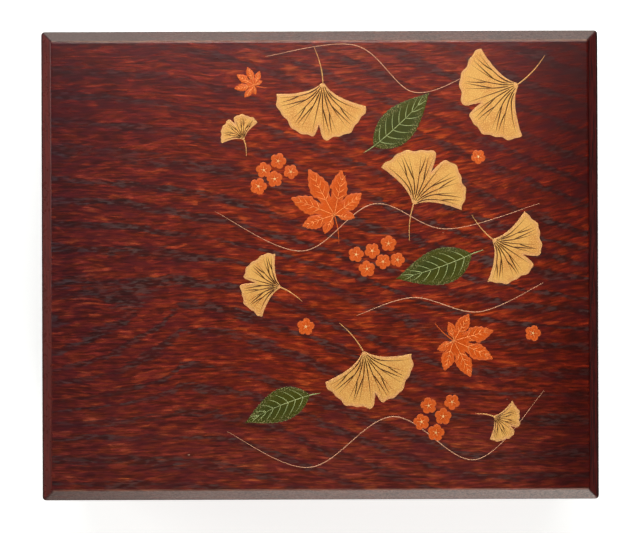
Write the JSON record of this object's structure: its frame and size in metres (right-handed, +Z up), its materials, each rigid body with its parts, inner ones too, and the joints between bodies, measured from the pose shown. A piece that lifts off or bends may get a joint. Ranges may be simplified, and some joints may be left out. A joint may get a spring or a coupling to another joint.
{
  "type": "letter box",
  "caption": "Joined wooden letter box in transparent red-brown lacquer, with a bevelled lid that overlaps the case and lifts off, and painted leaves on top.",
  "frame": {"origin": "centre of the closed box's footprint, on the surface it stands on", "axes": "+X along the long side, +Y from front to back, +Z up through the lid"},
  "size_m": [0.31, 0.261, 0.112],
  "materials": {
    "grained_lacquer": "transparent red-brown lacquer over open-grained wood, satin",
    "key_wood": "lacquered end-cut slip, satin",
    "bamboo": "lacquered bamboo",
    "gold_paint": "gold powder on lacquer, satin",
    "orange_paint": "coloured lacquer, satin",
    "green_paint": "coloured lacquer with gold dust, satin",
    "line_paint": "fine gold line on lacquer, satin"
  },
  "bodies": {
    "case": {"case_bottom": "grained_lacquer", "case_front": "grained_lacquer", "case_back": "grained_lacquer", "case_left": "grained_lacquer", "case_right": "grained_lacquer", "case_corner_keys": "key_wood", "case_bottom_pegs": "bamboo"},
    "lid": {"lid_top": "grained_lacquer", "lid_front_rail": "grained_lacquer", "lid_back_rail": "grained_lacquer", "lid_left_rail": "grained_lacquer", "lid_right_rail": "grained_lacquer", "lid_corner_keys": "key_wood", "lid_hidden_pegs": "bamboo"}
  },
  "joints": [
    {"name": "lid_lift", "type": "slide", "parent": "case", "child": "lid", "axis": [0, 0, 1], "range_m": [0, 0.13]}
  ]
}
